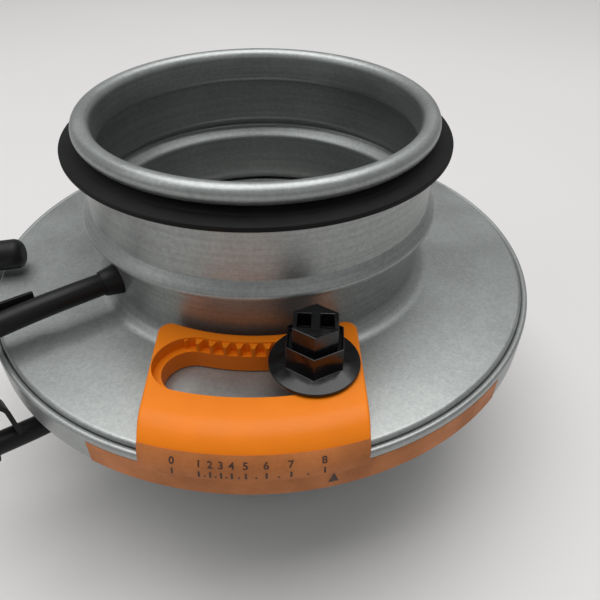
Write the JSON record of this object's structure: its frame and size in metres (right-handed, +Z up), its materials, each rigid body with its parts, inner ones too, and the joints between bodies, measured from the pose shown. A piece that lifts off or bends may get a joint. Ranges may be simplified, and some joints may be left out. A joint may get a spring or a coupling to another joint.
{
  "type": "iris damper",
  "caption": "Round-duct iris damper: flat steel casing with two rubber-sealed spigots, swinging leaves, an orange setting handle, a geared adjuster and two measuring tubes.",
  "frame": {"origin": "on the duct axis, where the lower rolled rim stands on the ground", "axes": "+Z up along the duct axis, -Y towards the adjuster and handle, +X to the right seen from the handle side"},
  "size_m": [0.1817, 0.1681, 0.109],
  "materials": {
    "galvanised_steel": "galvanised sheet with fine spangle and drawing marks",
    "bright_steel": "plain zinc-coated sheet and rivets",
    "gasket_rubber": "matt dusty black rubber",
    "tube_rubber": "smooth black rubber",
    "orange_plastic": "satin orange moulding",
    "black_plastic": "glossy black moulding",
    "printed_strip": "salmon printed strip"
  },
  "bodies": {
    "casing": {"upper_shell": "galvanised_steel", "lower_shell": "galvanised_steel", "upper_gasket": "gasket_rubber", "lower_gasket": "gasket_rubber", "leaf_pivots": "bright_steel", "pointer_label": "printed_strip", "stud_boss": "bright_steel", "upper_tube": "tube_rubber", "lower_tube": "tube_rubber", "upper_grommet": "tube_rubber", "lower_grommet": "tube_rubber", "upper_cap": "tube_rubber", "lower_cap": "tube_rubber"},
    "setting": {"control_ring": "bright_steel", "handle": "orange_plastic", "scale_strip": "printed_strip"},
    "adjuster_body": {"adjuster": "black_plastic"},
    "lock_body": {"lock_screw": "black_plastic"},
    "leaf_1_body": {"leaf_1": "bright_steel", "guide_pin_1": "bright_steel"},
    "leaf_2_body": {"leaf_2": "bright_steel", "guide_pin_2": "bright_steel"},
    "leaf_3_body": {"leaf_3": "bright_steel", "guide_pin_3": "bright_steel"},
    "leaf_4_body": {"leaf_4": "bright_steel", "guide_pin_4": "bright_steel"},
    "leaf_5_body": {"leaf_5": "bright_steel", "guide_pin_5": "bright_steel"},
    "leaf_6_body": {"leaf_6": "bright_steel", "guide_pin_6": "bright_steel"}
  },
  "joints": [
    {"name": "setting_turn", "type": "hinge", "parent": "casing", "child": "setting", "pos_m": [0, 0, 0.0602], "axis": [0, 0, 1], "range_deg": [0, 24]},
    {"name": "leaf_1_swing", "type": "hinge", "parent": "casing", "child": "leaf_1_body", "pos_m": [0.03952, -0.06248, 0.05106], "axis": [0.0131, -0.042, 0.999], "range_deg": [0, 24]},
    {"name": "leaf_2_swing", "type": "hinge", "parent": "casing", "child": "leaf_2_body", "pos_m": [0.07387, 0.00298, 0.05106], "axis": [0.0429, -0.0097, 0.999], "range_deg": [0, 24]},
    {"name": "leaf_3_swing", "type": "hinge", "parent": "casing", "child": "leaf_3_body", "pos_m": [0.03435, 0.06547, 0.05106], "axis": [0.0298, 0.0323, 0.999], "range_deg": [0, 24]},
    {"name": "leaf_4_swing", "type": "hinge", "parent": "casing", "child": "leaf_4_body", "pos_m": [-0.03952, 0.06248, 0.05106], "axis": [-0.0131, 0.042, 0.999], "range_deg": [0, 24]},
    {"name": "leaf_5_swing", "type": "hinge", "parent": "casing", "child": "leaf_5_body", "pos_m": [-0.07387, -0.00298, 0.05106], "axis": [-0.0429, 0.0097, 0.999], "range_deg": [0, 24]},
    {"name": "leaf_6_swing", "type": "hinge", "parent": "casing", "child": "leaf_6_body", "pos_m": [-0.03435, -0.06547, 0.05106], "axis": [-0.0298, -0.0323, 0.999], "range_deg": [0, 24]},
    {"name": "adjuster_turn", "type": "hinge", "parent": "casing", "child": "adjuster_body", "pos_m": [0, -0.0617, 0.0692], "axis": [0, 0, 1], "range_deg": [-168, 0]},
    {"name": "lock_turn", "type": "hinge", "parent": "casing", "child": "lock_body", "pos_m": [0, -0.0617, 0.0782], "axis": [0, 0, 1], "range_deg": [0, 270]}
  ],
  "couplings": [
    {"joint": "leaf_1_swing", "follows": "setting_turn", "ratio": 1},
    {"joint": "leaf_2_swing", "follows": "setting_turn", "ratio": 1},
    {"joint": "leaf_3_swing", "follows": "setting_turn", "ratio": 1},
    {"joint": "leaf_4_swing", "follows": "setting_turn", "ratio": 1},
    {"joint": "leaf_5_swing", "follows": "setting_turn", "ratio": 1},
    {"joint": "leaf_6_swing", "follows": "setting_turn", "ratio": 1},
    {"joint": "adjuster_turn", "follows": "setting_turn", "ratio": -7}
  ]
}
